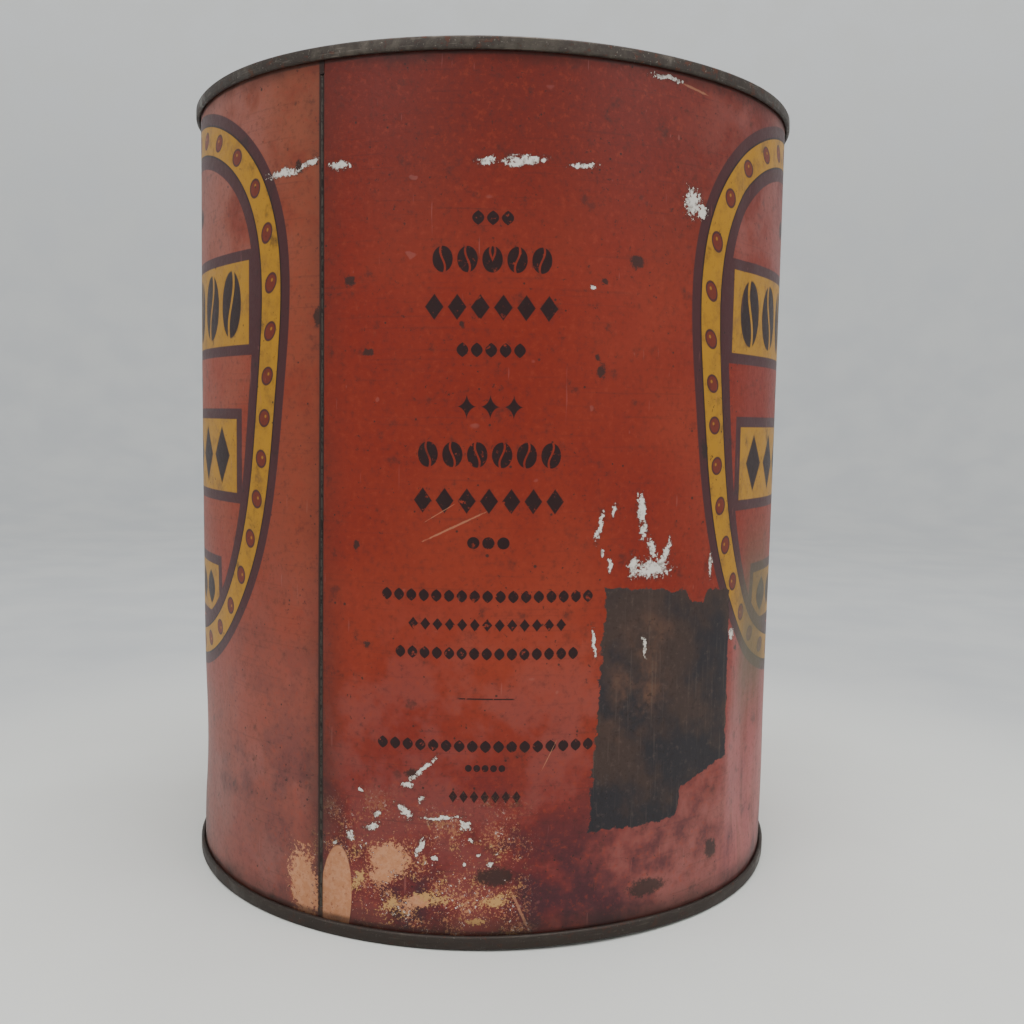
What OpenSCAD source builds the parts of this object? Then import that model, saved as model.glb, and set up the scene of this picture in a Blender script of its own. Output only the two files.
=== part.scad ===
// Round coffee tin with a push-in lever lid. Millimetres, +Z up, origin at the centre of the base.
// One printed sheet is rolled and locked down one side. A stamped bottom and a stamped ring are
// double-seamed to its ends, and the lid's plug pushes into the ring. The front faces -Y.

/* [Tin] */
// Diameter over the end seams
tin_d = 184; // [150:1:240]
// Height over the end seams
tin_h = 226; // [100:1:320]
// Thickness of the tinplate
sheet = 0.36; // [0.3:0.02:0.4]
// Gap between neighbouring layers of a seam
seam_gap = 0.1; // [0.08:0.01:0.12]

/* [End seams] */
// Height of the top seam
top_seam_h = 3.2; // [3:0.1:4.6]
// Height of the bottom seam
bottom_seam_h = 3.6; // [3:0.1:4.6]
// Height of the sealing compound over the turned edge of the body
compound_h = 0.4; // [0.3:0.05:0.6]
// Depth of the groove inside each end seam
groove_depth = 5.2; // [5:0.1:6]
// Depth of the flat panels inside the end seams
panel_depth = 3.9; // [3.6:0.1:4.2]

/* [Side seam] */
// Angle from the front centre line round to the side seam, towards -X
side_seam_angle = 28; // [0:1:180]
// Width of the locked fold
side_seam_w = 4; // [3.2:0.1:6]

/* [Mouth and lid] */
// Width of the ring between the rim and the mouth
ring_w = 25; // [20:1:40]
// Depth of the mouth's turned-down wall below the rim
mouth_depth = 14.6; // [13:0.1:20]
// Depth of the lid's plug below the rim
plug_depth = 10; // [8:0.1:10.5]
// Gap between the lid's plug and the mouth
plug_gap = 0.15; // [0.1:0.01:0.3]
// Gap under the lid's rolled edge
rest_gap = 0.05; // [0.02:0.01:0.1]

/* [Hidden] */

round_fn = 180;
bend_step = 30;
print_red = "#9c3d2c";
bare_tin = "#6d6a5c";
solder_grey = "#7f7d74";
compound_grey = "#4a4b48";

// Centre-line radii of the five layers of an end seam, from the outside inwards
half = sheet / 2;
pitch = sheet + seam_gap;
rim_r = tin_d / 2;
seam_wall_r = rim_r - half;
body_hook_r = seam_wall_r - pitch;
end_hook_r = seam_wall_r - 2 * pitch;
body_r = seam_wall_r - 3 * pitch;
chuck_r = seam_wall_r - 4 * pitch;
// A hook's half turn is two bends of a little under half its width
hook_bend = 0.9 * pitch;
// Bend at the two edges of the flat top of a seam
seam_bend = 0.42;
// Depth of the body's turn below the top of a seam
turn_depth = half + pitch + compound_h;

// Mouth and plug, on the centre line of the sheet
mouth_r = rim_r - ring_w + half;
plug_r = rim_r - ring_w - plug_gap - half;

// Side seam: distances s run along the wall from the visible fold, depths run inwards
side_seam_at = -90 - side_seam_angle;
joggle_from = -0.95;
joggle_run = 0.75;
joggle_bend = 0.3;
window_from = -3;
window_to = side_seam_w + 2;
seam_layer = [for (k = [0:3]) body_r - k * pitch];
// The folded layers stop short of the end grooves, where the sheet is only lapped
lap_h = groove_depth + 1;
// Slit between the folded layers and the lapped ends, where the corners are notched
notch = 0.2;
// The folded edges are a hair thinner than the wall, and run a little way into it
fold_half = half - 0.005;
fold_root = 0.3;

// Points of a path of [x, y, bend radius] corners, with each corner bent round
function bent(c) = [for (i = [0:len(c) - 1])
    each c[i][2] == 0 ? [[c[i].x, c[i].y]] : bend(flat2(c[i - 1]), flat2(c[i]), flat2(c[i + 1]), c[i][2])];
function flat2(p) = [p.x, p.y];
function bend(a, b, c, r) =
    let (u = unit(a - b), v = unit(c - b), inside = acos(u * v), turn = 180 - inside,
         centre = b + unit(u + v) * r / sin(inside / 2), from = b + u * r / tan(inside / 2) - centre,
         way = sign(v.x * u.y - v.y * u.x), steps = ceil(turn / bend_step))
    [for (i = [0:steps]) centre + turned(from, way * turn * i / steps)];
function unit(v) = v / norm(v);
function turned(p, a) = [p.x * cos(a) - p.y * sin(a), p.x * sin(a) + p.y * cos(a)];

// Closed outline of a sheet whose centre line is the path
function sheet_outline(path, h = half) = concat(
    [for (i = [0:len(path) - 1]) path[i] + h * mitre(path, i)],
    [for (i = [len(path) - 1:-1:0]) path[i] - h * mitre(path, i)]);
function normal_at(path, i) = let (d = unit(path[i + 1] - path[i])) [-d.y, d.x];
function mitre(path, i) =
    let (before = normal_at(path, max(i - 1, 0)), after = normal_at(path, min(i, len(path) - 2)))
    (before + after) / (1 + before * after);

// Flat drawing in [s, radius] wrapped round the tin at the side seam
function wrapped(outline) = [for (p = outline)
    let (a = side_seam_at + p.x / body_r * 180 / PI) p.y * [cos(a), sin(a)]];
// A straight run cut into short lengths, so that it can be wrapped
function run(from, to, r) =
    let (n = ceil(abs(to - from))) [for (i = [0:n]) [from + (to - from) * i / n, r]];

// The end's share of a double seam, from its hook over the top to its chuck wall
function end_seam(seam_h) = [
    [end_hook_r, turn_depth + pitch, 0], [end_hook_r, seam_h - half, hook_bend],
    [seam_wall_r, seam_h - half, hook_bend], [seam_wall_r, half, seam_bend],
    [chuck_r, half, seam_bend], [chuck_r, groove_depth, 0.7],
    [chuck_r - 1.9, groove_depth, 0.7], [chuck_r - 2.3, panel_depth, 0.6]];
// A pressed ring of the given width and height at radius r, walked inwards
function pressed_ring(r, w, h, depth) = [
    [r + w / 2 + 1, depth, 0.8], [r + w / 2, depth - h, 0.8],
    [r - w / 2, depth - h, 0.8], [r - w / 2 - 1, depth, 0.8]];

// Depths below the rim, and above the base, as heights
function from_rim(c) = [for (p = c) [p.x, tin_h - p.y, p[2]]];

module spun_sheet(corners) rotate_extrude($fn = round_fn) polygon(sheet_outline(bent(corners)));

// The wall with a hook at each end, before the side seam is let in
module plain_body() spun_sheet([
    [body_hook_r, bottom_seam_h - half - pitch, 0], [body_hook_r, turn_depth, hook_bend],
    [body_r, turn_depth, hook_bend], [body_r, tin_h - turn_depth, hook_bend],
    [body_hook_r, tin_h - turn_depth, hook_bend],
    [body_hook_r, tin_h - top_seam_h + half + pitch, 0]]);

module seam_window() {
    degrees_per_mm = 180 / PI / body_r;
    rotate([0, 0, side_seam_at + window_from * degrees_per_mm])
        rotate_extrude(angle = (window_to - window_from) * degrees_per_mm, $fn = round_fn)
            translate([body_r - 2, lap_h])
                square([4, tin_h - 2 * lap_h]);
}

module seam_strip(path)
    translate([0, 0, lap_h + notch])
        linear_extrude(tin_h - 2 * (lap_h + notch))
            polygon(wrapped(sheet_outline(path, fold_half)));

// The edge that steps in under the other, turns back and hooks over it
module inner_edge() seam_strip(concat(
    run(window_from - fold_root, window_from + 1, seam_layer[0]),
    bent([[joggle_from - 1, seam_layer[0], 0], [joggle_from, seam_layer[0], joggle_bend],
          [joggle_from + joggle_run, seam_layer[3], joggle_bend], [1, seam_layer[3], 0]]),
    run(2, side_seam_w - 1, seam_layer[3]),
    bent([[side_seam_w - pitch - 0.1, seam_layer[3], 0], [side_seam_w, seam_layer[3], hook_bend],
          [side_seam_w, seam_layer[1], hook_bend], [side_seam_w - pitch - 0.1, seam_layer[1], 0]]),
    run(side_seam_w - 1, pitch, seam_layer[1])));

// The edge that stays outside, turns back and is held by the first
module outer_edge() seam_strip(concat(
    run(window_to + fold_root, 1, seam_layer[0]),
    bent([[pitch + 0.1, seam_layer[0], 0], [0, seam_layer[0], hook_bend],
          [0, seam_layer[2], hook_bend], [pitch + 0.1, seam_layer[2], 0]]),
    run(1, side_seam_w - pitch, seam_layer[2])));

module body_shell() color(print_red) union() {
    difference() {
        plain_body();
        seam_window();
    }
    inner_edge();
    outer_edge();
}

// Solder in the groove between the visible fold and the step beside it
module side_seam_solder() {
    top = body_r + half - 0.13;
    foot = body_r + half - 0.7;
    clear = 0.04;
    fold_r = pitch + half + clear;
    joggle_len = norm([joggle_run, 3 * pitch]);
    function on_fold(r) = 180 - asin((r - seam_layer[1]) / fold_r);
    function on_joggle(r) = joggle_from
        + ((body_r - r) * joggle_run + (half + clear) * joggle_len) / (3 * pitch);
    color(solder_grey)
        translate([0, 0, lap_h])
            linear_extrude(tin_h - 2 * lap_h)
                polygon(wrapped(concat(
                    [for (i = [0:4])
                        let (a = on_fold(top) + (on_fold(foot) - on_fold(top)) * i / 4)
                        [pitch + fold_r * cos(a), seam_layer[1] + fold_r * sin(a)]],
                    [[on_joggle(foot), foot], [on_joggle(top), top]])));
}

module bottom_end() color(bare_tin) spun_sheet(concat(
    end_seam(bottom_seam_h),
    pressed_ring(0.8 * rim_r, 3, 0.7, panel_depth),
    pressed_ring(0.5 * rim_r, 3, 0.7, panel_depth),
    [[0, panel_depth, 0]]));

module top_ring() color(bare_tin) spun_sheet(from_rim(concat(
    end_seam(top_seam_h),
    pressed_ring((chuck_r + mouth_r) / 2, 2.8, 0.8, panel_depth),
    [[mouth_r, panel_depth, 1.2], [mouth_r, mouth_depth, 0.8],
     [mouth_r + 1.8, mouth_depth, 0.7], [mouth_r + 1.8, mouth_depth - 1.4, 0]])));

// Sealing compound in the space between an end and the turn of the body's hook
module seam_compound() {
    clear = 0.04;
    top = sheet + clear;
    foot = turn_depth - half - clear;
    inner = chuck_r + half + clear;
    outer = seam_wall_r - half - clear;
    color(compound_grey)
        rotate_extrude($fn = round_fn)
            polygon(bent([[inner, foot, 0], [inner, top, 0.2], [outer, top, 0.2], [outer, foot, 0]]));
}

module bottom_seam_compound() seam_compound();

module top_seam_compound() translate([0, 0, tin_h]) mirror([0, 0, 1]) seam_compound();

// The rolled edge rests on the ring, and the plug stands in the mouth
module lid() {
    roll_low = panel_depth - sheet - rest_gap;
    roll_top = roll_low - 1.64;
    floor_depth = plug_depth - 1.2;
    color(bare_tin) spun_sheet(from_rim(concat(
        [[mouth_r + 3.6, roll_low - 0.6, 0], [mouth_r + 3.6, roll_low, 0.5],
         [mouth_r + 5.2, roll_low, 0.75], [mouth_r + 5.2, roll_top, 0.75],
         [plug_r, roll_top, 0.6], [plug_r, plug_depth, 1],
         [plug_r - 6, plug_depth, 0.8], [plug_r - 7, floor_depth, 0.8]],
        pressed_ring(0.55 * plug_r, 3, 0.7, floor_depth),
        [[0, floor_depth, 0]])));
}

body_shell();
side_seam_solder();
bottom_end();
bottom_seam_compound();
top_ring();
top_seam_compound();
lid();
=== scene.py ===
import math

import bmesh
import bpy
import numpy as np
from mathutils import Matrix, Vector


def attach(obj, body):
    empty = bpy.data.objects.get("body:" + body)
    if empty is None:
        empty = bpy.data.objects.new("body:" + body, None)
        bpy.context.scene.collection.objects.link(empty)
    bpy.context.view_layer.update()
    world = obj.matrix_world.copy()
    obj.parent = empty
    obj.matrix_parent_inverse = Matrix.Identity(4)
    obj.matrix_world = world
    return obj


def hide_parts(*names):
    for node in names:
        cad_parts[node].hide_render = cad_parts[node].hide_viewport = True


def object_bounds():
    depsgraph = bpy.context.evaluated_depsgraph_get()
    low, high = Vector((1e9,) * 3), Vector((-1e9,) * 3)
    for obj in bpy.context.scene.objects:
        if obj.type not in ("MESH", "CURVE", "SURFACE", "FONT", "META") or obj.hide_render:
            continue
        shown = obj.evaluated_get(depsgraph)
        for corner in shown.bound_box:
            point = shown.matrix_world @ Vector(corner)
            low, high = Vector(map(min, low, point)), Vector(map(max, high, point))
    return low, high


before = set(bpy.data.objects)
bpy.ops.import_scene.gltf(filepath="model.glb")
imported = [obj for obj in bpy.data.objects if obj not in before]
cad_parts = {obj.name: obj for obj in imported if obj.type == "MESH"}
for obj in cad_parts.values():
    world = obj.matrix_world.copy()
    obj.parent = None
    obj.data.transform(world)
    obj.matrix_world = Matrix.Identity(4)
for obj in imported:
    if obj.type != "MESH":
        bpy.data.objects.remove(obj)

# An old round coffee tin: a printed tinplate wall locked down one side, two seamed ends and a
# lever lid. Lengths are in millimetres until a mesh is made. The front faces -Y, and arc is the
# distance round the wall from the middle of the front, towards +X.

MM = 0.001
cad_low, cad_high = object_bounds()
RIM_R = (cad_high.x - cad_low.x) / 2 / MM
TIN_H = cad_high.z / MM

# ---------------------------------------------------------------------------------------------
# Sizes of the sheet work
# ---------------------------------------------------------------------------------------------

SHEET = 0.36
HALF = SHEET / 2
LAYER = SHEET + 0.1  # from one layer of a seam to the next
TOP_SEAM_H = 3.2
BOTTOM_SEAM_H = 3.6
COMPOUND_H = 0.4
GROOVE_DEPTH = 5.2
PANEL_DEPTH = 3.9
MOUTH_R = 67.18
MOUTH_DEPTH = 14.6
PLUG_R = 66.67
PLUG_DEPTH = 10.0

# Centre-line radii of an end seam's layers, from the outside inwards
SEAM_WALL_R, BODY_HOOK_R, END_HOOK_R, WALL_R, CHUCK_R = [
    RIM_R - HALF - k * LAYER for k in range(5)]
SKIN_R = WALL_R + HALF
TURN = HALF + LAYER + COMPOUND_H  # the wall's turned edge, below the rim
HOOK_BEND = 0.9 * LAYER

# Side seam: s runs round the wall from the visible fold, and ROUND is once round
SEAM_AT = math.radians(-90 - 28)
SEAM_ARC = math.radians(-28) * SKIN_R
SEAM_W = 4.0
JOGGLE = (-0.95, -0.2)
JOGGLE_BEND = 0.3
ROUND = 2 * math.pi * WALL_R
FOLDS = [WALL_R - k * LAYER for k in range(4)]
LAP_H = GROOVE_DEPTH + 1
NOTCH = 0.2

# The lacquer lies on the metal, and its ends are hidden under the end seams
LACQUER = (0.004, 0.035)
LACQUER_ENDS = (2.4, TIN_H - 2.2)


# ---------------------------------------------------------------------------------------------
# Camera, floor and light
# ---------------------------------------------------------------------------------------------

def make_camera():
    """The front, seen from a little over half the tin's height."""
    yaw, pitch, roll = (math.radians(a) for a in (-1.22, -4.85, 0.94))
    data = bpy.data.cameras.new("camera")
    data.sensor_width = 36
    data.lens = 38.34
    camera = bpy.data.objects.new("camera", data)
    turned = (Matrix.Rotation(yaw, 4, "Z") @ Matrix.Rotation(math.pi / 2 + pitch, 4, "X")
              @ Matrix.Rotation(roll, 4, "Z"))
    away, up = 3.903 * RIM_R * MM, 1.47 * RIM_R * MM
    camera.matrix_world = Matrix.Translation((0, -away, up)) @ turned
    bpy.context.scene.collection.objects.link(camera)
    bpy.context.scene.camera = camera


def make_softbox(name, place, aim, size, watts):
    """A square softbox at place, facing aim, in metres."""
    data = bpy.data.lights.new(name, "AREA")
    data.size = size
    data.energy = watts
    light = bpy.data.objects.new(name, data)
    light.location = place
    light.rotation_euler = (Vector(aim) - Vector(place)).to_track_quat("-Z", "Y").to_euler()
    bpy.context.scene.collection.objects.link(light)


def make_room_light():
    world = bpy.data.worlds.new("room")
    world.use_nodes = True
    background = world.node_tree.nodes["Background"]
    background.inputs["Color"].default_value = (0.93, 0.97, 1.0, 1)
    background.inputs["Strength"].default_value = 0.56
    bpy.context.scene.world = world


# ---------------------------------------------------------------------------------------------
# Sheet metal
# ---------------------------------------------------------------------------------------------

def unit(v):
    return v / np.hypot(*v)


def bent(corners, turn_step=20):
    """Points of a path of (x, y, bend radius) corners, with each corner bent round."""
    points = []
    for i, (x, y, radius) in enumerate(corners):
        here = np.array([x, y])
        if radius == 0:
            points.append(here)
            continue
        u = unit(np.array(corners[i - 1][:2]) - here)
        v = unit(np.array(corners[i + 1][:2]) - here)
        inside = math.acos(np.clip(u @ v, -1, 1))
        centre = here + unit(u + v) * radius / math.sin(inside / 2)
        start = here + u * radius / math.tan(inside / 2) - centre
        way = math.copysign(1, v[0] * u[1] - v[1] * u[0])
        steps = max(2, math.ceil(math.degrees(math.pi - inside) / turn_step))
        for k in range(steps + 1):
            a = way * (math.pi - inside) * k / steps
            points.append(centre + [start[0] * math.cos(a) - start[1] * math.sin(a),
                                    start[0] * math.sin(a) + start[1] * math.cos(a)])
    return np.array(points)


def divided(points, longest):
    """The same path with its long stretches cut into equal lengths."""
    out = [points[0]]
    for a, b in zip(points, points[1:]):
        pieces = max(1, math.ceil(np.hypot(*(b - a)) / longest - 1e-6))
        out += [a + (b - a) * k / pieces for k in range(1, pieces + 1)]
    return np.array(out)


def left_normals(path):
    """Normals on the left of a path, mitred where it turns."""
    d = np.diff(path, axis=0)
    d /= np.hypot(d[:, 0], d[:, 1])[:, None]
    n = np.stack([-d[:, 1], d[:, 0]], axis=1)
    before, after = np.vstack([n[:1], n]), np.vstack([n, n[-1:]])
    return (before + after) / (1 + (before * after).sum(axis=1))[:, None]


def smooth(x, start, end):
    t = np.clip((x - start) / (end - start), 0, 1)
    return t * t * (3 - 2 * t)


# The wall and the rims are knocked about, and the panels inside them are not: from and to radius
KNOCKED_R = (82, 88)
# The dents die away this close to the rims, and a rim's knock this far along the wall
STIFF_ENDS = (6, 26)
RIM_REACH = 30
# Dents in the wall: arc, height, half width, half height, depth
DENTS = [
    (92, 44, 13, 44, 2.0), (76, 36, 5, 34, -0.5), (63, 40, 9, 36, 0.5), (88, 150, 9, 50, 0.5),
    (78, 186, 4, 32, 0.4), (52, 165, 8, 30, 0.25),
    (-84, 178, 15, 32, 0.8), (-66, 108, 10, 50, 0.4), (-92, 66, 16, 30, 0.7), (-20, 60, 16, 30, 0.25),
    (20, 130, 22, 40, 0.2), (150, 60, 24, 34, 1.3), (172, 168, 14, 22, 0.9), (212, 110, 30, 60, 0.7),
    (262, 44, 18, 22, 1.1), (-250, 180, 22, 26, 0.8), (-196, 84, 26, 44, 1.2), (-150, 150, 16, 50, 0.7),
    (-128, 36, 20, 20, 1.0),
]
# Knocks in the rims: arc, half width, depth inwards, depth along the axis, and the rim's height
RIM_KNOCKS = [
    (30, 34, 0.15, 0.7, 0), (-62, 26, -0.1, 0.0, 0), (120, 22, 0.5, 0.4, 0), (-190, 30, 0.5, 0.5, 0),
    (-96, 20, 0.25, 0.1, TIN_H), (58, 26, 0.2, 0.15, TIN_H), (160, 16, 0.6, 0.3, TIN_H),
    (-230, 24, 0.5, 0.25, TIN_H),
]


def way_round(arc, centre):
    """Signed distance along the wall from centre to arc, the short way round."""
    whole = 2 * math.pi * SKIN_R
    return (arc - centre + whole / 2) % whole - whole / 2


def knocked(points):
    """Points of the tin after years of use: dents in the wall, and rims a little out of round."""
    x, y, z = np.moveaxis(points, -1, 0)
    r = np.hypot(x, y)
    turn = np.arctan2(x, -y)
    arc = turn * SKIN_R
    on_wall = smooth(z, *STIFF_ENDS) * smooth(TIN_H - z, *STIFF_ENDS)
    inward = on_wall * (0.10 * np.sin(5 * turn + 1) * np.sin(z / 31)
                        + 0.06 * np.sin(11 * turn + z / 23))
    for at, height, half_w, half_h, depth in DENTS:
        u, v = way_round(arc, at) / half_w, (z - height) / half_h
        inward = inward + on_wall * depth * np.exp(-u * u - v * v)
    rise = 0
    for at, half_w, depth, along, rim in RIM_KNOCKS:
        near = smooth(abs(z - rim), RIM_REACH, 0) * np.exp(-(way_round(arc, at) / half_w) ** 2)
        inward = inward + near * depth
        rise = rise + near * (along if rim == 0 else -along)
    outer = smooth(r, *KNOCKED_R)
    scale = 1 - outer * inward / np.maximum(r, 1)
    return np.stack([x * scale, y * scale, z + outer * rise], axis=-1)


def make_piece(name, points, faces, sharp_angle=None):
    """A smooth-shaded object of the points that the faces use, and which points those are."""
    used, corners = np.unique(faces, return_inverse=True)
    mesh = bpy.data.meshes.new(name)
    mesh.from_pydata((points[used] * MM).tolist(), [], corners.reshape(faces.shape).tolist())
    mesh.shade_smooth()
    if sharp_angle is not None:
        work = bmesh.new()
        work.from_mesh(mesh)
        bmesh.ops.remove_doubles(work, verts=work.verts, dist=1e-3 * MM)
        work.to_mesh(mesh)
        work.free()
        mesh.set_sharp_from_angle(angle=math.radians(sharp_angle))
    piece = bpy.data.objects.new(name, mesh)
    bpy.context.scene.collection.objects.link(piece)
    return piece, used


def sheet_faces(shape, present, closed):
    """Quads of a closed sheet over a grid of the given shape: outer side, inner side and edges.

    The grid's first way is round the tin, and closed says that it meets itself there. The inner
    side's points are numbered after the outer side's.
    """
    n, m = shape
    ids = np.arange(n * m).reshape(n, m)
    after = np.roll(ids, -1, axis=0)
    rounds = n if closed else n - 1
    a, d = ids[:rounds, :-1], ids[:rounds, 1:]
    b, c = after[:rounds, :-1], after[:rounds, 1:]
    near = np.zeros((rounds + 2, m + 1), bool)
    near[1:-1, 1:-1] = present
    if closed:
        near[0], near[-1] = near[-2], near[1]
    here = near[1:-1, 1:-1]
    back = n * m
    quads = [np.stack([a, b, c, d], -1)[here], np.stack([a, d, c, b], -1)[here] + back]
    for p, q, beyond in ((a, d, near[:-2, 1:-1]), (c, b, near[2:, 1:-1]),
                         (b, a, near[1:-1, :-2]), (d, c, near[1:-1, 2:])):
        quads.append(np.stack([p, q, q + back, p + back], -1)[here & ~beyond])
    return np.concatenate(quads)


def spun_piece(name, corners, columns=240, low=-HALF, high=HALF, longest=4.0, worn=True):
    """A sheet spun round the axis from a path of (radius, height, bend radius) corners."""
    path = divided(bent(corners), longest)
    normals = left_normals(path)
    a = np.arange(columns) * 2 * math.pi / columns
    across = np.stack([np.cos(a), np.sin(a)], axis=1)

    def spun(rz):
        flat = across[:, None, :] * rz[None, :, :1]
        return np.concatenate([flat, np.broadcast_to(rz[None, :, 1:], flat.shape[:2] + (1,))], axis=2)

    sides = np.concatenate([spun(path + normals * high), spun(path + normals * low)]).reshape(-1, 3)
    faces = sheet_faces((columns, len(path)), True, True)
    goes_up = path[1] - path[0]
    if normals[0] @ [goes_up[1], -goes_up[0]] < 0:
        faces = faces[:, ::-1]
    return make_piece(name, knocked(sides) if worn else sides, faces, sharp_angle=50)[0]


# ---------------------------------------------------------------------------------------------
# The wall, with its side seam
# ---------------------------------------------------------------------------------------------

def wall_grid():
    """The wall's centre points, normals and cells on a grid of ways round by heights.

    Round the tin the sheet comes out of its outer fold, goes once round, steps in under itself
    and folds back. Near the ends it is only lapped, so the folded cells are left out there.
    """
    plan = divided(bent(
        [(SEAM_W - LAYER, FOLDS[2], 0), (0, FOLDS[2], HOOK_BEND), (0, FOLDS[0], HOOK_BEND)]
        + [(ROUND * q / 4, FOLDS[0], 0) for q in (1, 2, 3)]
        + [(ROUND + JOGGLE[0], FOLDS[0], JOGGLE_BEND), (ROUND + JOGGLE[1], FOLDS[3], JOGGLE_BEND),
           (ROUND + SEAM_W, FOLDS[3], HOOK_BEND), (ROUND + SEAM_W, FOLDS[1], HOOK_BEND),
           (ROUND + LAYER, FOLDS[1], 0)]), 2.0)
    hook_out = BODY_HOOK_R - WALL_R
    rise = divided(bent(
        [(hook_out, BOTTOM_SEAM_H - HALF - LAYER, 0), (hook_out, TURN, HOOK_BEND), (0, TURN, HOOK_BEND)]
        + [(0, z, 0) for z in (LACQUER_ENDS[0], LAP_H, LAP_H + NOTCH,
                               TIN_H - LAP_H - NOTCH, TIN_H - LAP_H, LACQUER_ENDS[1])]
        + [(0, TIN_H - TURN, HOOK_BEND), (hook_out, TIN_H - TURN, HOOK_BEND),
           (hook_out, TIN_H - TOP_SEAM_H + HALF + LAYER, 0)]), 2.0)
    on_wall = np.flatnonzero(abs(plan[:, 1] - FOLDS[0]) < 1e-6)
    first, last = on_wall[0], on_wall[-1]
    lap = np.arange(1, 5)
    from_middle = abs(rise[:, 1] - TIN_H / 2)
    folded = (abs(rise[:, 0]) < 1e-6) & (from_middle < TIN_H / 2 - LAP_H - NOTCH / 2)

    shape = (len(plan), len(rise))
    s = np.repeat(plan[:, :1], shape[1], axis=1)
    r = np.repeat(plan[:, 1:], shape[1], axis=1)
    out = np.repeat(left_normals(plan)[:, None, :], shape[1], axis=1)
    lap_s = plan[last, 0] + (ROUND + plan[first, 0] - plan[last, 0]) * lap / lap[-1]
    lapped = np.ix_(last + lap, np.flatnonzero(~folded))
    s[lapped], r[lapped], out[lapped] = lap_s[:, None], FOLDS[0], (0, 1)

    a = SEAM_AT + s / WALL_R
    round_way = np.stack([-np.sin(a), np.cos(a), 0 * a], axis=-1)
    out_way = np.stack([np.cos(a), np.sin(a), 0 * a], axis=-1)
    up = np.array([0.0, 0.0, 1.0])
    centre = out_way * (r + rise[:, 0])[..., None] + up * rise[:, 1][:, None]
    facing = -left_normals(rise)
    normal = (round_way * out[..., :1] + out_way * out[..., 1:]) * facing[:, :1] + up * facing[:, 1:]

    both_folded = folded[:-1] & folded[1:]
    both_lapped = ~folded[:-1] & ~folded[1:]
    present = np.tile(both_folded, (shape[0] - 1, 1))
    present[first:last] = True
    present[last:last + lap[-1]] |= both_lapped
    return plan, rise, centre, normal, present


def make_wall():
    """The bare sheet of the wall, and the lacquer on it as four panels, one to a quarter."""
    plan, rise, centre, normal, present = wall_grid()
    faces = sheet_faces(centre.shape[:2], present, False)
    sides = np.concatenate([centre + normal * HALF, centre - normal * HALF]).reshape(-1, 3)
    sheet = make_piece("body_sheet", knocked(sides), faces, sharp_angle=50)[0]

    skin = knocked(centre + normal * (HALF + LACQUER[1]))
    under = knocked(centre + normal * (HALF + LACQUER[0]))
    facing = np.cross(np.gradient(skin, axis=0), np.gradient(skin, axis=1))
    facing /= np.linalg.norm(facing, axis=2)[..., None] + 1e-12
    rows = np.flatnonzero((rise[:, 0] < 1e-6) & (rise[:, 1] > LACQUER_ENDS[0] - 1e-6)
                          & (rise[:, 1] < LACQUER_ENDS[1] + 1e-6))
    nose = int(np.argmin(plan[:, 0]))
    foot = int(np.flatnonzero(plan[:, 0] < ROUND + sum(JOGGLE) / 2)[-1])
    quarter = [int(np.argmin(abs(plan[:foot, 0] - ROUND * q / 4) + (plan[:foot, 1] < FOLDS[0] - 0.1)))
               for q in (1, 2, 3)]
    panels = []
    for name, start, stop in zip(("front", "right", "back", "left"),
                                 [nose] + quarter, quarter + [foot]):
        part = np.ix_(range(start, stop + 1), rows)
        cells = present[np.ix_(range(start, stop), rows[:-1])]
        faces = sheet_faces(skin[part].shape[:2], cells, False)
        sides = np.concatenate([skin[part], under[part]]).reshape(-1, 3)
        panel, used = make_piece("print_" + name, sides, faces)
        facings = np.concatenate([facing[part], -facing[part]]).reshape(-1, 3)
        panel.data.normals_split_custom_set_from_vertices(facings[used].tolist())
        panels.append(panel)
    return sheet, panels


def make_solder():
    """A thin lumpy bead in the groove beside the visible fold."""
    depth, thick = 0.13, 0.42
    groove = (-0.66, -0.05)
    s = np.linspace(*groove, 5)
    z = np.arange(LAP_H, TIN_H - LAP_H, 1.5)
    a = (SEAM_AT + s / WALL_R)[:, None] + 0 * z
    lumps = 0.015 * np.sin(z / 2.3) + 0.01 * np.sin(z / 0.9 + 1)
    sag = np.array([0.03, -0.02, -0.05, -0.02, 0.02])[:, None]
    sides = []
    for r in (SKIN_R - depth + lumps + sag, SKIN_R - depth - thick + 0 * lumps + 0 * sag):
        sides.append(np.stack([r * np.cos(a), r * np.sin(a), z + 0 * a], axis=-1))
    faces = sheet_faces(a.shape, True, False)
    return make_piece("seam_solder", knocked(np.concatenate(sides).reshape(-1, 3)), faces, sharp_angle=50)[0]


# ---------------------------------------------------------------------------------------------
# The ends and the lid
# ---------------------------------------------------------------------------------------------

def end_seam(seam_h):
    """The end's share of a double seam, as radius, depth from the rim and bend."""
    return [(END_HOOK_R, TURN + LAYER, 0), (END_HOOK_R, seam_h - HALF, HOOK_BEND),
            (SEAM_WALL_R, seam_h - HALF, HOOK_BEND), (SEAM_WALL_R, HALF, 0.42),
            (CHUCK_R, HALF, 0.42), (CHUCK_R, GROOVE_DEPTH, 0.7),
            (CHUCK_R - 1.9, GROOVE_DEPTH, 0.7), (CHUCK_R - 2.3, PANEL_DEPTH, 0.6)]


def pressed_ring(r, width, height, depth):
    return [(r + width / 2 + 1, depth, 0.8), (r + width / 2, depth - height, 0.8),
            (r - width / 2, depth - height, 0.8), (r - width / 2 - 1, depth, 0.8)]


def below_rim(corners):
    return [(r, TIN_H - depth, bend) for r, depth, bend in corners]


def make_bottom():
    return spun_piece("bottom", end_seam(BOTTOM_SEAM_H)
                      + pressed_ring(0.8 * RIM_R, 3, 0.7, PANEL_DEPTH)
                      + pressed_ring(0.5 * RIM_R, 3, 0.7, PANEL_DEPTH) + [(0, PANEL_DEPTH, 0)])


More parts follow.
